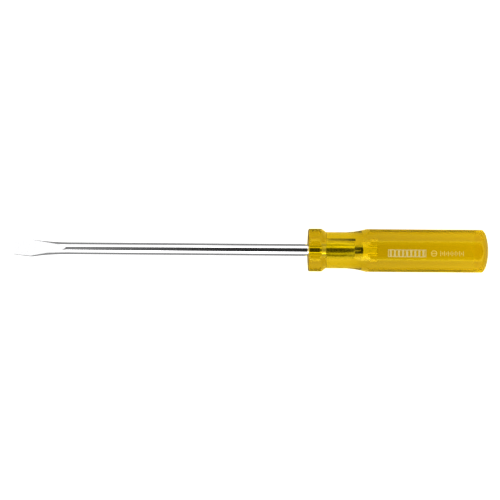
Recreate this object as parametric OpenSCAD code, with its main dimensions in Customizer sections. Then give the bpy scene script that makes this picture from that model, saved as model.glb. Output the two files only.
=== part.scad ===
// Slotted screwdriver with a clear octagonal handle pressed onto a winged blade.
// The tool lies along +X with the middle of its driving edge on the origin.
// +Z is square to the handle's marked flat, and the blade is rolled a little from it.

/* [Shank] */
// Length of the blade in front of the handle
blade_l = 150; // [75:5:250]
// Diameter of the round shank
shank_d = 6; // [5:0.5:7]
// Roll of the blade's ground faces from the handle's flats, in degrees
blade_roll = 8; // [0:1:45]

/* [Tip] */
// Width of the driving edge
tip_w = 6.5; // [5:0.1:8]
// Thickness of the driving edge
tip_t = 1.2; // [0.8:0.1:1.6]
// Width of the blade where it is widest
flare_w = 8.6; // [8.2:0.1:10]
// Distance of the widest place from the driving edge
flare_x = 10; // [6:1:12]
// Distance at which the flare has come down to the round shank
flare_l = 28; // [28:1:36]
// Distance at which the ground faces run out on the shank
taper_l = 27; // [20:1:27]

/* [Tang] */
// Length of the tang inside the handle
tang_l = 29.2; // [24:0.2:32]
// Length of the pinched stretch that throws up the wings
pinch_l = 5; // [3:0.5:7]
// Thickness left between the two pinches
pinch_t = 3.6; // [2.5:0.1:4.5]
// Span across the wings
wing_span = 7.8; // [7.2:0.1:9]
// Thickness of a wing
wing_t = 1.4; // [1:0.1:2]
// Depth of the blind bore, which leaves an air pocket behind the tang
bore_l = 35.8; // [33:0.2:45]

/* [Handle] */
// Overall length of the handle
handle_l = 92.4; // [80:0.2:110]
// Width across the flats of the octagon
across_flats = 21.8; // [20:0.2:24]
// Width across the softened ridges
across_ridges = 23.3; // [23.2:0.1:23.5]
// Diameter of the round neck
neck_d = 18.5; // [16:0.5:19]
// Distance from the front face to where a flat of the collar ends
collar_l = 7.4; // [6:0.2:8]
// Length of the cone between collar and neck
collar_cone_l = 2.1; // [1.5:0.1:3]
// Distance from the front face to the end of the straight neck
neck_end = 18.3; // [14:0.5:20]
// Radius of the hollow that swells the neck into the grip
swell_r = 42; // [30:1:50]
// Radius of the slightly domed front face
front_dome_r = 119; // [80:1:200]
// Radius that softens the rim of the front face
front_round = 2.3; // [1.8:0.1:2.6]
// Radius of the domed butt
butt_dome_r = 27; // [20:1:40]
// Radius that softens the rim of the butt
butt_round = 5; // [3:0.5:6]

/* [Stamped marks] */
// Thickness of the stamped foil
foil_t = 0.1; // [0.05:0.01:0.2]
// Distance of the marks' centre line below the middle of the flat
mark_drop = 1.3; // [0:0.1:2]
// Distance of the first mark from the front face
badge_x = 40.8; // [38:0.2:44]
// Length of the first mark
badge_l = 19.4; // [14:0.2:20]
// Height of the first mark
badge_h = 3.8; // [2:0.2:5]
// Number of bars in the first mark
badge_bars = 9; // [5:1:11]
// Distance of the second mark from the front face
scale_x = 62.6; // [62:0.2:66]
// Length of the second mark
scale_l = 16.6; // [12:0.2:18]
// Height of the second mark
scale_h = 3.1; // [2:0.1:4]
// Number of ticks in the second mark
scale_ticks = 13; // [7:2:15]
// Width of a foil line
foil_line = 0.4; // [0.3:0.05:0.6]

/* [Hidden] */
$fn = 64;

// Radii of the round and octagonal parts
shank_r = shank_d / 2;
ridge_r = across_ridges / 2;
flat_r = across_flats / 2;
neck_r = neck_d / 2;
// Radius of the hollow side that joins the flare to the shank
flare_rise = flare_w / 2 - shank_r;
flare_run = flare_l - flare_x;
flare_r = (flare_run * flare_run + flare_rise * flare_rise) / (2 * flare_rise);
// Clearance by which a cutting shape passes the solid that it cuts
past = 1;
// Chamfer on the end of the tang
tang_chamfer = 0.5;
// Stretch of whole round tang behind the pinches
tang_end_l = 0.6;
// Angle from the middle of a flat to a ridge
half_facet = 22.5;
// Place along the tool where the pinches begin
wing_x = blade_l + tang_l - tang_end_l - pinch_l;
// Steps in which the outline of a domed end follows an arc
arc_steps = 8;
// Radius to which the ends are turned, just outside the ridges
rim_r = ridge_r + 0.15;

// Depth from the top of a domed end to the centre of its rim's rounding
function rim_depth(dome_r, round_r) = dome_r - sqrt(pow(dome_r - round_r, 2) - pow(rim_r - round_r, 2));

// Turns a half section (radius, distance along the tool) about the tool's axis
module turned() {
    rotate([0, 90, 0]) rotate_extrude() children();
}

// Lays an outline drawn as (along, across) flat and gives it a thickness about its own plane
module slab(t) {
    translate([0, 0, -t / 2]) linear_extrude(t) children();
}

// Round stock of the flared head, hollowed down to the shank
module head_stock() {
    turned() difference() {
        square([flare_r, flare_l]);
        translate([shank_r + flare_r, flare_l]) circle(flare_r, $fn = 256);
    }
}

// Plan of the head: straight sides from the driving edge to the widest place
module head_plan() {
    slab(2 * flare_w) polygon([
        [0, -tip_w / 2], [flare_x, -flare_w / 2], [flare_l, -flare_w / 2],
        [flare_l, flare_w / 2], [flare_x, flare_w / 2], [0, tip_w / 2]
    ]);
}

// Side view of the head: the two ground faces, which meet the shank at taper_l
module head_side() {
    end_t = tip_t + (shank_d - tip_t) * flare_l / taper_l;
    rotate([90, 0, 0]) slab(2 * flare_w) polygon([
        [0, -tip_t / 2], [flare_l, -end_t / 2], [flare_l, end_t / 2], [0, tip_t / 2]
    ]);
}

module blade_head() {
    intersection() {
        head_stock();
        head_plan();
        head_side();
    }
}

// Round bar of the shank and the tang, with a chamfered end
module blade_bar() {
    end = blade_l + tang_l;
    turned() polygon([
        [0, flare_l], [shank_r, flare_l], [shank_r, end - tang_chamfer],
        [shank_r - tang_chamfer, end], [0, end]
    ]);
}

// Flat notch that a pinch leaves on one side of the tang
module pinch() {
    rotate([90, 0, 0]) slab(2 * shank_d) polygon([
        [0, shank_r + past], [past, pinch_t / 2], [pinch_l - past, pinch_t / 2], [pinch_l, shank_r + past]
    ]);
}

// Metal thrown up beside the pinches, seen from the side as a plate with sloping ends
module wing_plate() {
    slab(wing_t) polygon([
        [past, -wing_span / 2], [pinch_l - past, -wing_span / 2], [pinch_l, 0],
        [pinch_l - past, wing_span / 2], [past, wing_span / 2], [0, 0]
    ]);
}

// Pinches a bar and adds its wings, which stand square to the ground faces of the head
module winged() {
    rotate([90 - blade_roll, 0, 0]) {
        difference() {
            children();
            translate([wing_x, 0, 0]) for (side = [0, 180]) rotate([side, 0, 0]) pinch();
        }
        translate([wing_x, 0, 0]) wing_plate();
    }
}

// Octagonal bar with softened ridges, one flat facing +Z
module octagon_bar() {
    translate([blade_l - past, 0, 0]) rotate([0, 90, 0]) linear_extrude(handle_l + 2 * past) intersection() {
        rotate(half_facet) circle(flat_r / cos(half_facet), $fn = 8);
        circle(ridge_r);
    }
}

// Points along an arc about a centre, from the side facing -Y round towards +X, after its first
function arc(centre, r, from, to) = [
    for (i = [1 : arc_steps]) centre + r * [sin(from + (to - from) * i / arc_steps),
                                            -cos(from + (to - from) * i / arc_steps)]
];

// Outline of a domed end with a rounded rim, whose top is at the origin and which grows along +Y
function domed_end(dome_r, round_r) =
    let (rim = [rim_r - round_r, rim_depth(dome_r, round_r)])
    let (meet = asin(rim.x / (dome_r - round_r)))
    concat([[0, 0]], arc([0, dome_r], dome_r, 0, meet), arc(rim, round_r, meet, 90));

// The same outline at the butt, in the order that closes the section
function at_butt(points) = [
    for (i = [len(points) - 1 : -1 : 0]) [points[i].x, handle_l - points[i].y]
];

// Collar cone, straight neck and hollow swell, cut from the outside of the half section
module waist_section() {
    out_r = rim_r + past;
    cone_slope = collar_cone_l / (flat_r - neck_r);
    polygon([
        [out_r, collar_l - (out_r - flat_r) * cone_slope], [neck_r, collar_l + collar_cone_l],
        [neck_r, neck_end], [out_r, neck_end]
    ]);
    intersection() {
        translate([neck_r, neck_end]) square([out_r - neck_r, swell_r]);
        translate([neck_r + swell_r, neck_end]) circle(swell_r, $fn = 256);
    }
}

// Half section of the whole handle, from its axis outwards and from its front face back
module handle_section() {
    difference() {
        polygon(concat(domed_end(front_dome_r, front_round), at_butt(domed_end(butt_dome_r, butt_round))));
        waist_section();
    }
}

// Blind bore, from in front of the handle to the end of the air pocket
module bore_bar() {
    translate([blade_l - past, 0, 0]) rotate([0, 90, 0]) cylinder(h = bore_l + past, r = shank_r);
}

// Flat sheet of foil lying on the marked flat, drawn as (along, across) from the front face
module foil() {
    translate([blade_l, -mark_drop, flat_r]) linear_extrude(foil_t) children();
}

// Rectangle from a start along the handle, centred across it
module bar(start, length, height) {
    translate([start, -height / 2]) square([length, height]);
}

module blade() {
    color("silver") {
        rotate([-blade_roll, 0, 0]) blade_head();
        winged() blade_bar();
    }
}

module handle() {
    color([0.86, 0.66, 0.05, 0.6]) difference() {
        intersection() {
            octagon_bar();
            translate([blade_l, 0, 0]) turned() handle_section();
        }
        winged() bore_bar();
    }
}

// Plain frame filled with evenly spaced bars
module maker_mark() {
    pitch = (badge_l - 2 * foil_line) / badge_bars;
    color([0.89, 0.79, 0.5]) foil() {
        difference() {
            bar(badge_x, badge_l, badge_h);
            bar(badge_x + foil_line, badge_l - 2 * foil_line, badge_h - 2 * foil_line);
        }
        for (i = [0 : badge_bars - 1]) {
            translate([badge_x + foil_line + i * pitch + pitch / 4, 0]) bar(0, pitch / 2, badge_h - foil_line);
        }
    }
}

// Sign for a slotted driver, a circle with a bar, followed by a scale of long and short ticks
module size_mark() {
    sign_r = scale_h / 2;
    ticks_x = scale_x + scale_h + 4 * foil_line;
    pitch = (scale_l - (ticks_x - scale_x) - foil_line) / (scale_ticks - 1);
    color([0.86, 0.76, 0.42]) foil() {
        translate([scale_x + sign_r, 0]) difference() {
            circle(sign_r);
            circle(sign_r - foil_line);
        }
        bar(scale_x + foil_line / 2, scale_h - foil_line, foil_line);
        for (i = [0 : scale_ticks - 1]) {
            bar(ticks_x + i * pitch, foil_line, i % 2 == 0 ? 0.8 * scale_h : 0.4 * scale_h);
        }
    }
}

blade();
handle();
maker_mark();
size_mark();
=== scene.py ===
"""Looks of the slotted screwdriver: plated blade, clear amber handle and stamped foil marks.

Everything is in metres in the part's frame, unless its name or comment says millimetres. +X runs from the
tip to the butt, and +Z is square to the marked flat.
"""
import math

import bmesh
import bpy
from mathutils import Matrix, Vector


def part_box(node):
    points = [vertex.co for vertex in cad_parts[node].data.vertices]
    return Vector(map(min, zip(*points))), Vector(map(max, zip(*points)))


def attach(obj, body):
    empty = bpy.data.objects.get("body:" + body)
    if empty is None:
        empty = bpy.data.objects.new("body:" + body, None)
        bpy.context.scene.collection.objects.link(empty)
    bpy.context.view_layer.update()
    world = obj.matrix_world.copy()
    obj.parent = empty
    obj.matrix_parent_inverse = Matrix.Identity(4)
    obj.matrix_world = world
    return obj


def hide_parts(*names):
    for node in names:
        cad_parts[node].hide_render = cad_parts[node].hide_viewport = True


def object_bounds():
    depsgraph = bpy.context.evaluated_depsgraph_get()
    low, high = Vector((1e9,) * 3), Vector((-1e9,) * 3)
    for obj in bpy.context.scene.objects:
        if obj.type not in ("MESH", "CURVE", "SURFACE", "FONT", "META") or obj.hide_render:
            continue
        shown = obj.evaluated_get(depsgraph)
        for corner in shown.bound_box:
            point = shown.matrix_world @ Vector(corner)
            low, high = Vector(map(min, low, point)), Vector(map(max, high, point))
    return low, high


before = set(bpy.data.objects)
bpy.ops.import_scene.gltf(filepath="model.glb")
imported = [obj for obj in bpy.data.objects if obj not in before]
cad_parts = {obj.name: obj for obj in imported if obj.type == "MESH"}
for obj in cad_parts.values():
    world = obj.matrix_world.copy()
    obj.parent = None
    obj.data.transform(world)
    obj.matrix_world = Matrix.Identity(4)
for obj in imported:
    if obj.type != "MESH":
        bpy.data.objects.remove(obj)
cad_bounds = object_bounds()

MM = 0.001

# ---------------------------------------- sizes, in millimetres

SHANK_R = 3.0
BLADE_ROLL = math.radians(8)
TIP_W = 6.5
TIP_T = 1.2
FLARE_W = 8.6
FLARE_X = 10.0
FLARE_L = 28.0
TAPER_L = 27.0
PINCH_L = 5.0
PINCH_T = 3.6
PINCH_RAMP = 1.0
WING_SPAN = 7.8
WING_T = 1.4
TANG_END_L = 0.6
TANG_CHAMFER = 0.5
BORE_L = 35.8

RIDGE_R = 11.65
RIDGE_FILLET = 2.4
NECK_R = 9.25
COLLAR_L = 7.4
COLLAR_CONE_L = 2.1
NECK_END = 18.3
SWELL_R = 42.0
FRONT_DOME_R = 119.0
FRONT_ROUND = 2.3
BUTT_DOME_R = 27.0
BUTT_ROUND = 5.0
RIM_R = RIDGE_R + 0.15

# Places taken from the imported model
_, blade_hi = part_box("blade")
handle_lo, handle_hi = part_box("handle")
FACE_X = handle_lo[0] / MM
BUTT_X = handle_hi[0] / MM
TANG_END = blade_hi[0] / MM
FLAT_R = handle_hi[2] / MM
HANDLE_L = BUTT_X - FACE_X
PINCH_X = TANG_END - TANG_END_L - PINCH_L

# How far the plastic closes in on the tang, so that the two touch like a pressed joint
PRESS = 0.02
# Vertices closer together than this are made one
MERGE = 0.0005
# Turn from the middle of one flat of the octagon to the next, in radians
EIGHTH = math.radians(45)


# ---------------------------------------- mesh helpers

def point(x, y, z):
    """A point in metres from one in millimetres."""
    return Vector((x * MM, y * MM, z * MM))


def soft_min(a, b, width):
    """The smaller of two radii, with the corner between them rounded over the width."""
    overlap = max(width - abs(a - b), 0.0)
    return min(a, b) - overlap * overlap / (4 * width)


def steps(start, end, count):
    """The start, the end and what divides the way between them into the count."""
    return [start + (end - start) * i / count for i in range(count + 1)]


def skin(name, rings, material):
    """One smooth closed mesh through rings of points. A ring of one point closes an end."""
    bm = bmesh.new()
    rows = [[bm.verts.new(p) for p in ring] for ring in rings]
    for row, after in zip(rows, rows[1:]):
        for i in range(max(len(row), len(after))):
            corners = [row[i % len(row)], row[(i + 1) % len(row)],
                       after[(i + 1) % len(after)], after[i % len(after)]]
            bm.faces.new(list(dict.fromkeys(corners)))
    bmesh.ops.remove_doubles(bm, verts=bm.verts, dist=MERGE * MM)
    bmesh.ops.dissolve_degenerate(bm, edges=bm.edges, dist=MERGE * MM)
    bmesh.ops.recalc_face_normals(bm, faces=bm.faces)
    for face in bm.faces:
        face.smooth = True
    return finished(name, bm, material)


def finished(name, bm, material):
    """An object in the scene from a mesh that is ready."""
    mesh = bpy.data.meshes.new(name)
    bm.to_mesh(mesh)
    bm.free()
    mesh.materials.append(material)
    piece = bpy.data.objects.new(name, mesh)
    bpy.context.scene.collection.objects.link(piece)
    return piece


# ---------------------------------------- material helpers

def new_material(name):
    """A new material, its tree and its shader."""
    material = bpy.data.materials.new(name)
    material.use_nodes = True
    tree = material.node_tree
    return material, tree, tree.nodes["Principled BSDF"]


def fill(tree, socket, value):
    """Links another node's output to a socket, or sets the socket to a plain value."""
    if isinstance(value, bpy.types.NodeSocket):
        tree.links.new(value, socket)
    else:
        socket.default_value = value


def add(tree, kind, **values):
    """A new node. Values named like sockets fill them, and the rest are properties of the node."""
    node = tree.nodes.new(kind)
    for key, value in values.items():
        socket = node.inputs.get(key.replace("_", " "))
        if socket is None:
            setattr(node, key, value)
        else:
            fill(tree, socket, value)
    return node


def maths(tree, operation, a, b=0.0, clamp=False):
    node = tree.nodes.new("ShaderNodeMath")
    node.operation = operation
    node.use_clamp = clamp
    fill(tree, node.inputs[0], a)
    fill(tree, node.inputs[1], b)
    return node.outputs[0]


def product(tree, *factors):
    """All the factors multiplied together."""
    result = factors[0]
    for factor in factors[1:]:
        result = maths(tree, "MULTIPLY", result, factor)
    return result


def fade(tree, value, start, length):
    """Rises from 0 at the start to 1 after the length, which is negative to rise the other way."""
    return maths(tree, "MULTIPLY", maths(tree, "SUBTRACT", value, start), 1 / length, clamp=True)


# Numbers of the sockets of a mix node: factor, first value, second value and result
MIX_SOCKETS = {"RGBA": (0, 6, 7, 2), "FLOAT": (0, 2, 3, 0)}


def mixed(tree, kind, factor, first, second):
    """The first value where the factor is 0, and the second where it is 1. The kind is RGBA or FLOAT."""
    factor_at, first_at, second_at, result_at = MIX_SOCKETS[kind]
    node = add(tree, "ShaderNodeMix", data_type=kind)
    fill(tree, node.inputs[factor_at], factor)
    fill(tree, node.inputs[first_at], first)
    fill(tree, node.inputs[second_at], second)
    return node.outputs[result_at]


def ramp(tree, factor, stops):
    """A ramp over a factor from 0 to 1. Stops are (position, value); a value is a grey or an (r, g, b)."""
    node = tree.nodes.new("ShaderNodeValToRGB")
    tree.links.new(factor, node.inputs[0])
    points = node.color_ramp.elements
    while len(points) < len(stops):
        points.new(0.5)
    for element, (position, value) in zip(points, stops):
        colour = value if isinstance(value, tuple) else (value, value, value)
        element.position = position
        element.color = (*colour, 1)
    return node.outputs[0]


def ramp_from(tree, value, low, stops):
    """A ramp over a value that starts at low and reaches one more. Stops are (value, grey)."""
    return ramp(tree, maths(tree, "SUBTRACT", value, low), [(at - low, grey) for at, grey in stops])


def degrees(*stops):
    """Stops given as (degrees, grey), for a factor that is 1 at half a turn."""
    return [(angle / 180, grey) for angle, grey in stops]


def place(tree, stretch=(1, 1, 1)):
    """Object coordinates, scaled by stretch along each axis."""
    coords = tree.nodes.new("ShaderNodeTexCoord")
    mapping = add(tree, "ShaderNodeMapping", Vector=coords.outputs["Object"], Scale=stretch)
    return mapping.outputs[0]


def placed_along(tree, axis):
    """One of the object coordinates, named X, Y or Z."""
    return add(tree, "ShaderNodeSeparateXYZ", Vector=place(tree)).outputs[axis]


def noise_of(tree, vector, scale, detail=2.0, roughness=0.5):
    node = add(tree, "ShaderNodeTexNoise", Vector=vector, Scale=scale, Detail=detail, Roughness=roughness)
    return node.outputs["Fac"]


def bump(tree, shader, height, distance):
    """Roughens the surface by the height, which runs from 0 to 1, times the distance."""
    node = add(tree, "ShaderNodeBump", Height=height, Distance=distance, Strength=1.0)
    tree.links.new(node.outputs[0], shader.inputs["Normal"])


# ---------------------------------------- materials

def dress(tree, shader, **looks):
    """Fills the shader's sockets. An underscore in a name stands for a space."""
    for name, value in looks.items():
        fill(tree, shader.inputs[name.replace("_", " ")], value)


def plated_steel():
    """Bright plate over a centreless-ground bar: faint rings round the bar and a little haze."""
    material, tree, shader = new_material("plated_steel")
    haze = noise_of(tree, place(tree), 90, 4)
    rings = noise_of(tree, place(tree, (1, 0.02, 0.02)), 2600, 3, 0.6)
    dress(tree, shader, Metallic=1.0,
          Base_Color=ramp(tree, haze, [(0.3, (0.80, 0.80, 0.81)), (0.7, (0.88, 0.88, 0.885))]),
          Roughness=ramp(tree, rings, [(0.3, 0.05), (0.75, 0.11)]))
    bump(tree, shader, rings, 0.000002)
    return material


def ground_steel():
    """The tip's faces and end, ground across the blade."""
    material, tree, shader = new_material("ground_steel")
    lines = noise_of(tree, place(tree, (1, 0.03, 0.03)), 3800, 4, 0.7)
    dress(tree, shader, Metallic=1.0,
          Base_Color=ramp(tree, lines, [(0.25, (0.78, 0.78, 0.79)), (0.75, (0.93, 0.93, 0.94))]),
          Roughness=ramp(tree, lines, [(0.2, 0.10), (0.8, 0.18)]))
    bump(tree, shader, lines, 0.0000005)
    return material


# Painted shade of the bar in the plastic: its brightness from its -Y side (0) to its +Y side (1), darkest
# along the middle
BAR_PAINTED_SHADE = [(0.0, 0.75), (0.18, 0.4), (0.41, 0.44), (0.43, 0.38), (0.6, 0.38), (0.66, 0.9), (1.0, 1.0)]


def scored_plate_painted_shade():
    """The part of the bar that was driven into the plastic, scored along, with painted shade that darkens
    its middle.
    """
    material, tree, shader = new_material("scored_plate_painted_shade")
    scores = noise_of(tree, place(tree, (0.12, 1, 1)), 1600, 4, 0.7)
    across = fade(tree, placed_along(tree, "Y"), -SHANK_R * MM, 2 * SHANK_R * MM)
    # Painted shade: the bar's colour is darker along its middle and lighter at its sides
    painted_shade = ramp(tree, across, BAR_PAINTED_SHADE)
    dress(tree, shader, Metallic=1.0,
          Base_Color=product(tree, painted_shade, ramp(tree, scores, [(0.3, 0.7), (0.65, 0.95)])),
          Roughness=ramp(tree, scores, [(0.3, 0.3), (0.7, 0.16)]))
    bump(tree, shader, scores, 0.000006)
    return material


# Colours of the darkened end: near-black, dark grey, and bright specks that are painted glints; then the
# plate at its sides
DARK_TONES_AND_GLINTS = [(0.52, (0.01, 0.009, 0.007)), (0.66, (0.1, 0.09, 0.08)), (0.72, (0.9, 0.9, 0.85))]
SIDE_PLATE = (0.8, 0.8, 0.78, 1)


def dark_tang():
    """The pinched end of the tang, darker along its middle than at its sides, with bright specks that are
    painted glints.
    """
    material, tree, shader = new_material("dark_tang")
    # The bright specks among these tones are painted glints
    scale = noise_of(tree, place(tree), 900, 5, 0.65)
    sideways = maths(tree, "DIVIDE", maths(tree, "ABSOLUTE", placed_along(tree, "Y")), SHANK_R * MM)
    sides = ramp(tree, sideways, [(0.38, 0.0), (0.55, 1.0)])
    dress(tree, shader, Metallic=1.0,
          Base_Color=mixed(tree, "RGBA", sides, ramp(tree, scale, DARK_TONES_AND_GLINTS), SIDE_PLATE),
          Roughness=ramp(tree, scale, [(0.3, 0.55), (0.7, 0.25)]))
    bump(tree, shader, scale, 0.00008)
    return material


# The plastic: how it colours the light that crosses it, and how much passes through its surface
ACETATE_TINT = (0.833, 0.78, 0.0, 1)
ACETATE_DENSITY = 300.0
ACETATE_IOR = 1.48
ACETATE_CLEAR = 0.982
SURFACE_TINT = (0.92, 0.78, 0.01)
GLOSS_TINT = (1.0, 0.85, 0.05, 1)
# Surface tint over the distance from the axis, of the ridge's radius: none on the wall of the bore
BORE_TINT = [(0.35, (1.0, 1.0, 1.0)), (0.4, SURFACE_TINT)]
# How far from the ends of the bore, in millimetres, the surface counts as outside it
BORE_MARGIN = 1
# Plastic farther than this from the axis is on a ridge and has been rubbed dull
WORN_RADIUS = 0.01118
WORN_FADE = 1 / 3000
WORN_LOSS = 0.055
# Below this height the ridges have been frosted by the bench and the hand
FROSTED_BELOW = 0.006
FROST_FADE = 0.001
FROST = 0.85
# Place along the tool where the rounded rim of the butt begins
BUTT_RIM = (BUTT_X - 1.6 * BUTT_ROUND) * MM
BUTT_FADE = 0.002


def distance_from_axis(tree):
    node = tree.nodes.new("ShaderNodeVectorMath")
    node.operation = "LENGTH"
    tree.links.new(place(tree, (0, 1, 1)), node.inputs[0])
    return node.outputs["Value"]


def acetate_tint(tree, radius, along):
    """Tint of the plastic's surface, left out on the wall of the bore."""
    behind = maths(tree, "GREATER_THAN", along, (FACE_X + BORE_L + BORE_MARGIN) * MM)
    before = maths(tree, "LESS_THAN", along, (FACE_X + BORE_MARGIN) * MM)
    outwards = maths(tree, "DIVIDE", radius, RIDGE_R * MM)
    return ramp(tree, maths(tree, "MAXIMUM", outwards, maths(tree, "MAXIMUM", behind, before)), BORE_TINT)


def clear_acetate():
    """Transparent amber plastic, mostly coloured by the depth of it that the light crosses."""
    material, tree, shader = new_material("clear_acetate")
    radius = distance_from_axis(tree)
    along = placed_along(tree, "X")
    scuffs = ramp(tree, noise_of(tree, place(tree, (0.15, 1, 1)), 700, 3, 0.6), [(0.3, 0.75), (0.65, 1.0)])
    worn = product(tree, fade(tree, radius, WORN_RADIUS, WORN_FADE), scuffs)
    lower = fade(tree, placed_along(tree, "Z"), FROSTED_BELOW, -FROST_FADE)
    rim = maths(tree, "MAXIMUM", worn, fade(tree, along, BUTT_RIM, BUTT_FADE))
    frosted = product(tree, rim, lower, FROST)
    flow = noise_of(tree, place(tree, (0.25, 1, 1)), 60, 2)
    polish = ramp(tree, flow, [(0.35, 0.0), (0.8, 0.03)])
    dress(tree, shader, IOR=ACETATE_IOR, Specular_Tint=GLOSS_TINT,
          Base_Color=acetate_tint(tree, radius, along),
          Transmission_Weight=maths(tree, "SUBTRACT", ACETATE_CLEAR, product(tree, worn, WORN_LOSS)),
          Roughness=maths(tree, "MAXIMUM", polish, frosted))
    bump(tree, shader, flow, 0.00002)
    depth = add(tree, "ShaderNodeVolumeAbsorption", Color=ACETATE_TINT, Density=ACETATE_DENSITY)
    tree.links.new(depth.outputs[0], tree.nodes["Material Output"].inputs["Volume"])
    return material


def foil(name, light, dark):
    """Stamped foil, thin in places where the press didn't take."""
    material, tree, shader = new_material(name)
    wear = noise_of(tree, place(tree), 1500, 4, 0.7)
    dress(tree, shader,
          Base_Color=ramp(tree, wear, [(0.32, dark), (0.55, light)]),
          Roughness=ramp(tree, wear, [(0.3, 0.6), (0.7, 0.35)]))
    bump(tree, shader, wear, 0.00001)
    return material


# ---------------------------------------- tang, shared by the blade and the bore round it

# Radius at which the slope of a pinch begins, outside the bar
PINCH_START_R = SHANK_R + 1
# Keeps a division clear of zero
TINY = 1e-6


def polar_tang(x, angle):
    """Radius of the tang at a place along it. The angle runs from the blade's +Y towards its +Z."""
    along = min(x - PINCH_X, PINCH_X + PINCH_L - x)
    if along <= 0:
        return SHANK_R
    slope = min(along / PINCH_RAMP, 1.0)
    half = PINCH_START_R - (PINCH_START_R - PINCH_T / 2) * slope
    across = max(abs(math.cos(angle)), TINY)
    outward = max(abs(math.sin(angle)), TINY)
    bar = min(SHANK_R, half / across)
    wing = min(WING_SPAN / 2 * slope / outward, WING_T / 2 / across)
    return max(bar, wing)


# ---------------------------------------- blade

# Steps round one side of the blade and across a ground face
SIDE_STEPS = 60
FLAT_STEPS = 10
# Width over which the widest corner of the head is rounded
HEAD_CORNER = 0.2


def stock_radius(x):
    """Radius of the round stock that the head is ground from, which is hollowed down to the shank."""
    if x >= FLARE_L:
        return SHANK_R
    rise, run = FLARE_W / 2 - SHANK_R, FLARE_L - FLARE_X
    hollow = (run * run + rise * rise) / (2 * rise)
    return SHANK_R + hollow - math.sqrt(hollow * hollow - (FLARE_L - x) ** 2)


def blade_side(x):
    """Points (across, up) down one side of the blade, from the upper ground face to the lower one."""
    stock = stock_radius(x)
    ground = TIP_T / 2 + (SHANK_R - TIP_T / 2) * x / TAPER_L
    top = math.asin(min(ground / stock, 1.0))
    plan = TIP_W / 2 + (FLARE_W - TIP_W) / 2 * x / FLARE_X
    side = []
    for angle in steps(top, -top, SIDE_STEPS):
        scale = polar_tang(x, angle) / SHANK_R if x > FLARE_L else 1.0
        across = stock * math.cos(angle) * scale
        if x < FLARE_X * 1.2:
            across = soft_min(across, plan, HEAD_CORNER)
        side.append((across, stock * math.sin(angle) * scale))
    return side


def rolled(x, outline):
    """Points of an outline (across, up), rolled with the blade from the handle's flats."""
    turn, lean = math.cos(-BLADE_ROLL), math.sin(-BLADE_ROLL)
    return [point(x, y * turn - z * lean, y * lean + z * turn) for y, z in outline]


def blade_ring(x):
    """Points round the blade, from the edge of the upper flat down one side and up the other."""
    side = blade_side(x)
    edge, height = side[0]
    flat = [edge * (1 - 2 * i / FLAT_STEPS) for i in range(1, FLAT_STEPS)]
    ring = side + [(y, -height) for y in flat]
    ring += [(-y, z) for y, z in reversed(side)] + [(-y, height) for y in flat]
    return rolled(x, ring)


def blade_piece():
    """The blade in one skin, from the driving edge to the end of the tang."""
    run_out = TAPER_L * (1 + 1e-4)
    along = steps(0, FLARE_X - 1, 9) + steps(FLARE_X - 0.75, FLARE_X + 1, 7)
    along += steps(FLARE_X + 1.5, run_out, 34) + [FLARE_L] + steps(FLARE_L + 4, FACE_X, 12)
    along += steps(FACE_X + 4, PINCH_X, 5) + steps(PINCH_X + 0.2, TANG_END - TANG_CHAMFER, 26)
    rings = [[point(0, 0, 0)]] + [blade_ring(x) for x in along]
    chamfered = (SHANK_R - TANG_CHAMFER) / SHANK_R
    rings.append([Vector((TANG_END * MM, p.y * chamfered, p.z * chamfered)) for p in rings[-1]])
    rings.append([point(TANG_END, 0, 0)])
    blade = skin("blade_steel", rings, plated_steel())
    finish_blade(blade)
    return blade


# Numbers of the blade's finishes
PLATED, GROUND, DARK_END, SCORED_SHADED = range(4)
# Cosine of the angle within which a face of the tip counts as facing the same way as the ground faces
FACING = 0.9955
# Angle above which an edge of a ground face stays sharp
CRISP = math.radians(30)


def finish_of(face):
    """Number of the finish that a face of the blade has."""
    centre = face.calc_center_median() / MM
    facing = abs(face.normal.z * math.cos(BLADE_ROLL) + face.normal.y * math.sin(BLADE_ROLL))
    on_flat = centre.x < TAPER_L and facing > FACING
    on_end = centre.x < 1 and abs(face.normal.x) > 0.99
    if on_flat or on_end:
        return GROUND
    if centre.x > PINCH_X + PINCH_RAMP:
        return DARK_END
    if centre.x > FACE_X + COLLAR_L:
        return SCORED_SHADED
    return PLATED


def finish_blade(blade):
    """Gives the ground faces and the bar in the handle their own finishes, and keeps ground edges crisp."""
    mesh = blade.data
    for material in (ground_steel(), dark_tang(), scored_plate_painted_shade()):
        mesh.materials.append(material)
    bm = bmesh.new()
    bm.from_mesh(mesh)
    for face in bm.faces:
        face.material_index = finish_of(face)
    for edge in bm.edges:
        kinds = {face.material_index for face in edge.link_faces}
        if GROUND in kinds and (len(kinds) > 1 or edge.calc_face_angle(0) > CRISP):
            edge.smooth = False
    bm.to_mesh(mesh)
    bm.free()


# ---------------------------------------- handle

# Turn from the middle of a flat to where its ridge's rounding begins, in radians
FILLET_TURN = math.atan((FLAT_R - RIDGE_FILLET) * math.tan(EIGHTH / 2) / FLAT_R)
# Radius to which the grip is turned, just outside its ridges
GRIP_R = RIM_R + 0.3
# Widths over which the turned shape and the octagon run into each other
FRONT_CORNER = 0.3
WAIST_CORNER = 0.06
BUTT_CORNER = 0.12
# Rounding between the end of the bore and its wall
POCKET_ROUND = 0.15


def octagon(angle):
    """Radius of the octagonal bar, whose ridges are rounded, at an angle from the middle of a flat."""
    local = abs((angle + EIGHTH / 2) % EIGHTH - EIGHTH / 2)
    if local <= FILLET_TURN:
        return FLAT_R / math.cos(local)
    centre = (FLAT_R - RIDGE_FILLET) / math.cos(EIGHTH / 2)
    turn = local - EIGHTH / 2
    return centre * math.cos(turn) + math.sqrt(RIDGE_FILLET ** 2 - (centre * math.sin(turn)) ** 2)


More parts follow.
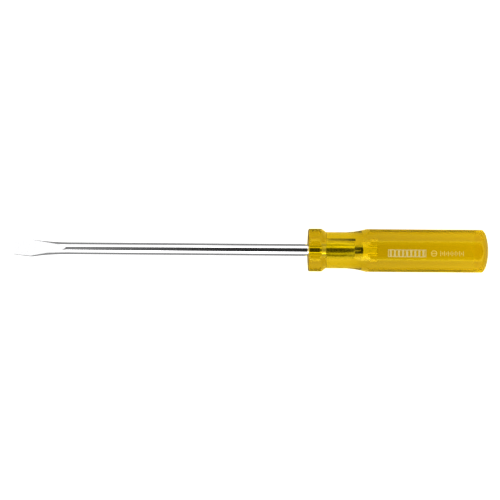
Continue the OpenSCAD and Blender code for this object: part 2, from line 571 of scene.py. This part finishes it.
def handle_angles():
    """Angles round the handle, closer together on the ridges than on the flats."""
    flat_end = FILLET_TURN * 0.97
    within = steps(-flat_end, flat_end, 14) + steps(FILLET_TURN, EIGHTH - FILLET_TURN, 7)
    return [EIGHTH * facet + angle for facet in range(8) for angle in within]


def arc(centre_x, centre_r, radius, start, end, count):
    """Stations (distance, radius) along an arc; angles in radians from the side that faces the tip."""
    return [(centre_x - radius * math.cos(a), centre_r + radius * math.sin(a))
            for a in steps(start, end, count)]


def domed_end(dome_r, round_r, first, counts):
    """Stations of a domed end with a rounded rim, from a first radius. The counts are of dome and rim."""
    rim_depth = dome_r - math.sqrt((dome_r - round_r) ** 2 - (RIM_R - round_r) ** 2)
    meet = math.asin((RIM_R - round_r) / (dome_r - round_r))
    dome = arc(dome_r, 0, dome_r, math.asin(first / dome_r), meet, counts[0])
    return dome + arc(rim_depth, RIM_R - round_r, round_r, meet, math.pi / 2, counts[1])[1:]


def collar_and_cone(slope):
    """Stations of the collar's side and of the cone behind it, whose length is the slope times its fall."""
    start = COLLAR_L - (RIM_R - FLAT_R) * slope
    collar = [(x, RIM_R) for x in (3.6, 4.6, 5.4, start - 0.25)]
    return collar + [(start + (RIM_R - r) * slope, r) for r in steps(RIM_R - 0.05, NECK_R + 0.35, 14)]


def neck_and_swell():
    """Stations from the foot of the cone along the neck and up the hollow swell, to outside the octagon."""
    foot = COLLAR_L + COLLAR_CONE_L
    hollow = [(foot - 0.2, NECK_R + 0.13), (foot, NECK_R + 0.045), (foot + 0.3, NECK_R)]
    neck = [(x, NECK_R) for x in steps(foot + 0.8, NECK_END, 6)]
    turn = math.acos(1 - (GRIP_R - NECK_R) / SWELL_R)
    swell = [(NECK_END + SWELL_R * math.sin(a), NECK_R + SWELL_R * (1 - math.cos(a)))
             for a in steps(0, turn, 56)[1:]]
    return hollow + neck + swell


def outside_stations():
    """Stations of the outside: distance from the front face, turned radius and width of the corner."""
    front = domed_end(FRONT_DOME_R, FRONT_ROUND, SHANK_R + 0.1, (10, 12))
    front += collar_and_cone(COLLAR_CONE_L / (FLAT_R - NECK_R))
    waist = neck_and_swell()
    butt = [(HANDLE_L - x, r) for x, r in reversed(domed_end(BUTT_DOME_R, BUTT_ROUND, 0.4, (16, 24)))]
    waist += [(x, GRIP_R) for x in steps(waist[-1][0] + 1.5, butt[0][0] - 2.5, 10)]
    stations = [(x, r, FRONT_CORNER) for x, r in front]
    stations += [(x, r, WAIST_CORNER) for x, r in waist]
    return stations + [(x, r, BUTT_CORNER) for x, r in butt]


def ring_of(x, radii, angles):
    """Points round the tool's axis, one for each radius and its angle."""
    return [point(x, radius * math.cos(a), radius * math.sin(a)) for radius, a in zip(radii, angles)]


def bore_ring(x, angles):
    """The bore closes in on the tang, and is plain and round behind it."""
    if x > TANG_END:
        return ring_of(x, [SHANK_R - PRESS] * len(angles), angles)
    return ring_of(x, [polar_tang(x, angle + BLADE_ROLL) - PRESS for angle in angles], angles)


def pocket_rings(angles):
    """The end of the bore, from its middle out to its wall."""
    end = FACE_X + BORE_L
    rings = [[point(end, 0, 0)]]
    for turn in steps(0, math.pi / 2, 5):
        radius = SHANK_R - PRESS - POCKET_ROUND + POCKET_ROUND * math.sin(turn)
        x = end - POCKET_ROUND + POCKET_ROUND * math.cos(turn)
        rings.append(ring_of(x, [radius] * len(angles), angles))
    return rings


def handle_piece():
    """The handle's skin, from the end of the bore forwards, round the front face and back to the butt."""
    angles = handle_angles()
    rings = pocket_rings(angles)
    along = steps(FACE_X + BORE_L - 0.5, TANG_END + 0.1, 6) + steps(TANG_END - 0.3, PINCH_X - 0.1, 26)
    along += steps(PINCH_X - 2, FACE_X + 0.1, 6)
    rings += [bore_ring(x, angles) for x in along]
    for x, turned, corner in outside_stations():
        radii = [soft_min(turned, octagon(a), corner) for a in angles]
        rings.append(ring_of(FACE_X + x, radii, angles))
    rings.append([point(BUTT_X, 0, 0)])
    return skin("handle_acetate", rings, clear_acetate())


# ---------------------------------------- dark sliver in the plastic, a painted shadow

# Distances of the dark sliver's edges from the axis, its half thickness and its start behind the front face
SLIVER_IN = 3.2
SLIVER_OUT = 4.1
SLIVER_T = 0.12
SLIVER_START = 9.0
# Colour of the painted shadow
SHADOW_SLIVER_TONE = (0.10, 0.085, 0.02, 1)


def painted_shadow_look():
    """Painted shadow: a dark sheet along the bore that stands for the shank's shade seen through the neck,
    darker close to the wings.
    """
    material, tree, shader = new_material("painted_shadow_look")
    length = PINCH_X - FACE_X - SLIVER_START
    reach = fade(tree, placed_along(tree, "X"), (FACE_X + SLIVER_START) * MM, length * MM)
    blotches = noise_of(tree, place(tree, (0.1, 1, 1)), 1200, 3, 0.6)
    shade = ramp(tree, reach, [(0.0, 0.1), (0.15, 0.42), (0.7, 0.55), (1.0, 0.85)])
    dress(tree, shader, Base_Color=SHADOW_SLIVER_TONE, Roughness=0.9,
          Alpha=product(tree, shade, ramp(tree, blotches, [(0.3, 0.6), (0.6, 1.0)])))
    bump(tree, shader, blotches, 0.00002)
    return material


def shadow_sliver_piece():
    """A thin dark sliver beside the bar, in the plane square to the wings, that carries the painted shadow.
    """
    corners = [(SLIVER_IN, -SLIVER_T), (SLIVER_OUT, 0), (SLIVER_IN, SLIVER_T)]
    rings = [rolled(x, corners) for x in steps(FACE_X + SLIVER_START, PINCH_X + 1.5, 24)]
    ends = [[sum(ring, Vector()) / len(ring)] for ring in (rings[0], rings[-1])]
    return skin("painted_shadow_sliver", [ends[0]] + rings + [ends[1]], painted_shadow_look())


# ---------------------------------------- build

blade = blade_piece()
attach(blade, "root")
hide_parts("blade")

handle = handle_piece()
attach(handle, "root")
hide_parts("handle")

# The dark sliver carries a painted shadow
shadow_sliver = shadow_sliver_piece()
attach(shadow_sliver, "root")

FOILS = {"maker_mark": foil("badge_foil", light=(0.36, 0.285, 0.09), dark=(0.30, 0.21, 0.03)),
         "size_mark": foil("scale_foil", light=(0.44, 0.31, 0.04), dark=(0.34, 0.22, 0.015))}
for node, look in FOILS.items():
    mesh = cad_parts[node].data
    mesh.materials.clear()
    mesh.materials.append(look)


# ---------------------------------------- stage: floor, surroundings, light and camera

# Side of the floor, and the place of its middle along the tool
FLOOR_SIZE = 6.0
FLOOR_X = 0.12
# How far below the part the floor lies
FLOOR_GAP = 0.0003
FLOOR_TONE = (0.9, 0.9, 0.9, 1)
# Darker tones of the floor: plain, and under the handle, where the light has crossed the plastic
MIRRORED_TONES = [(0.0, (0.16, 0.16, 0.16)), (1.0, (0.6, 0.5, 0.14))]
# The stretch under the handle that gets painted amber light, its fading at the start, and half its width
AMBER_START = 0.149
AMBER_END = 0.25
AMBER_FADE = 1 / 1500
AMBER_HALF = 0.025
# Glow of the floor to the camera, and to light that has crossed the plastic, which grows towards the butt
CAMERA_GLOW = 0.95
CROSSED_GLOW = 1.5
GROWS_FROM = 0.18
GROWS_OVER = 1 / 7


def seen(tree, kind):
    """1 for a ray of the kind, and 0 for others."""
    return tree.nodes.new("ShaderNodeLightPath").outputs[kind]


def under_handle(tree, along, across):
    """1 on the part of the floor that gets the painted amber light."""
    near = maths(tree, "LESS_THAN", maths(tree, "ABSOLUTE", across), AMBER_HALF)
    started = fade(tree, along, AMBER_START - FLOOR_X, AMBER_FADE)
    return product(tree, started, near, maths(tree, "LESS_THAN", along, AMBER_END - FLOOR_X))


def floor_material():
    """Pale floor, darker to the camera and to mirrored rays as painted shade, with painted amber light under
    the handle, and a glow that makes the camera see white.
    """
    material, tree, shader = new_material("floor")
    along, across, _ = add(tree, "ShaderNodeSeparateXYZ", Vector=place(tree)).outputs
    direct = maths(tree, "MAXIMUM", seen(tree, "Is Glossy Ray"), seen(tree, "Is Camera Ray"))
    mirrored = ramp(tree, under_handle(tree, along, across), MIRRORED_TONES)
    growth = fade(tree, along, GROWS_FROM - FLOOR_X, GROWS_OVER)
    crossed = product(tree, seen(tree, "Is Transmission Ray"), maths(tree, "ADD", growth, CROSSED_GLOW))
    glow = maths(tree, "ADD", crossed, product(tree, seen(tree, "Is Camera Ray"), CAMERA_GLOW))
    dress(tree, shader, Specular_IOR_Level=0.0, Roughness=1.0,
          Base_Color=mixed(tree, "RGBA", direct, FLOOR_TONE, mirrored),
          Emission_Color=(1, 1, 1, 1), Emission_Strength=glow)
    return material


def floor():
    bm = bmesh.new()
    bmesh.ops.create_grid(bm, x_segments=4, y_segments=4, size=FLOOR_SIZE / 2)
    piece = finished("studio_floor", bm, floor_material())
    piece.location = (FLOOR_X, 0, cad_bounds[0][2] - FLOOR_GAP)
    return piece


# Brightness of the tent, of the banks along its sides, of its gaps and of what the camera sees
TENT = 1.7
BANK = 0.9
BANK_FAR = 0.8
GAP = 0.025
BACKDROP = 1.1
# How the gap overhead narrows away from the middle of the tent, most of all towards the tip
NARROWS_FROM = 0.09
NARROWS = 0.7
NARROWS_TIPWARD = 0.45
WIDENS_TO = 0.03


def ray_direction(tree):
    """X and Y of a ray's direction, and its lean: its turn about X from straight up, in half turns."""
    direction = add(tree, "ShaderNodeSeparateXYZ")
    tree.links.new(tree.nodes.new("ShaderNodeTexCoord").outputs["Generated"], direction.inputs[0])
    x, y, z = direction.outputs
    lean = maths(tree, "DIVIDE", maths(tree, "ARCTAN2", maths(tree, "ABSOLUTE", y), z), math.pi)
    return x, y, lean


def tent_light(tree, x, y, lean):
    """The tent is bright above and dim below, with a brighter bank along each side, most of all on -Y."""
    tent = ramp(tree, lean, [(0.0, 1.0), (0.385, 1.0), (0.455, 0.36), (0.56, 0.26), (1.0, 0.18)])
    bank = ramp(tree, lean, degrees((30, 0.4), (44, 1.0), (58, 1.0), (74, 0.2)))
    bank = product(tree, bank, maths(tree, "ADD", maths(tree, "LESS_THAN", y, 0.0), BANK_FAR))
    ends = ramp(tree, maths(tree, "ABSOLUTE", x), [(0.45, 1.0), (0.95, 0.75)])
    tipward = ramp_from(tree, x, -0.5, [(-0.4, 1.0), (-0.32, 0.58), (-0.13, 0.58), (-0.06, 1.0)])
    return maths(tree, "ADD", product(tree, tent, ends, tipward, TENT), product(tree, bank, BANK))


def overhead_gap(tree, x, lean):
    """Dark gap straight above, where a camera looks in."""
    beyond = maths(tree, "SUBTRACT", maths(tree, "ABSOLUTE", x), NARROWS_FROM)
    beyond = maths(tree, "MAXIMUM", beyond, 0.0)
    narrowed = maths(tree, "ADD", lean, product(tree, beyond, NARROWS))
    tipward = product(tree, maths(tree, "MINIMUM", x, WIDENS_TO), NARROWS_TIPWARD)
    narrowed = maths(tree, "SUBTRACT", narrowed, tipward)
    along = ramp_from(tree, x, -0.5, [(-0.4, 0.0), (-0.34, 0.8), (-0.08, 0.8), (-0.045, 0.94), (-0.02, 1.0),
                                      (0.25, 1.0), (0.35, 0.0)])
    return product(tree, ramp(tree, narrowed, degrees((35.8, 1.0), (39.8, 0.0))), along)


def tipward_gap(tree, x, lean):
    """Second dark gap, lower down beyond the tip."""
    along = ramp_from(tree, x, -0.8, [(-0.75, 0.0), (-0.65, 0.9), (-0.34, 0.9), (-0.28, 0.0)])
    return product(tree, ramp(tree, lean, degrees((12, 1.0), (26, 0.0))), along)


def surroundings():
    """Soft white tent with two dark gaps. The camera itself sees an even white backdrop."""
    world = bpy.data.worlds.new("studio")
    bpy.context.scene.world = world
    world.use_nodes = True
    tree = world.node_tree
    x, y, lean = ray_direction(tree)
    gap = maths(tree, "MAXIMUM", overhead_gap(tree, x, lean), tipward_gap(tree, x, lean))
    tent = mixed(tree, "FLOAT", gap, tent_light(tree, x, y, lean), GAP)
    shown = mixed(tree, "FLOAT", seen(tree, "Is Camera Ray"), tent, BACKDROP)
    dress(tree, tree.nodes["Background"], Color=(1, 1, 1, 1), Strength=shown)


# Where the soft light points, where it stands, its side and its radiance
AIM = Vector((0.16, 0, 0))
KEY_PLACE = (-0.12, -0.5, 0.45)
KEY_SIZE = 0.3
KEY_RADIANCE = 4.5


def softbox(name, location, size, radiance):
    """A square soft light that faces the handle's front and that the camera doesn't see."""
    data = bpy.data.lights.new(name, "AREA")
    data.size = size
    data.energy = radiance * math.pi * size * size
    lamp = bpy.data.objects.new(name, data)
    bpy.context.scene.collection.objects.link(lamp)
    lamp.location = location
    lamp.rotation_euler = (AIM - lamp.location).to_track_quat("-Z", "Y").to_euler()
    lamp.visible_camera = False


# Focal length and sensor in millimetres
LENS = 210.0
SENSOR = 36.0
# Width of the view at the tool's axis, and the place that the camera looks at
VIEW_WIDTH = 0.255102
VIEW_CENTRE = (0.1209, -0.0002)
# How far the camera is turned about its own axis, in radians
CAMERA_ROLL = 0.0075


def camera():
    """Looks straight down on the marked flat through a long lens."""
    data = bpy.data.cameras.new("camera")
    data.lens = LENS
    data.sensor_width = SENSOR
    data.clip_start = 0.01
    data.clip_end = 20
    rig = bpy.data.objects.new("camera", data)
    bpy.context.scene.collection.objects.link(rig)
    rig.location = (*VIEW_CENTRE, LENS / SENSOR * VIEW_WIDTH)
    rig.rotation_euler = (0, 0, CAMERA_ROLL)
    bpy.context.scene.camera = rig


floor()
surroundings()
softbox("key_softbox", KEY_PLACE, KEY_SIZE, KEY_RADIANCE)
camera()
bpy.context.scene.view_settings.view_transform = "Standard"
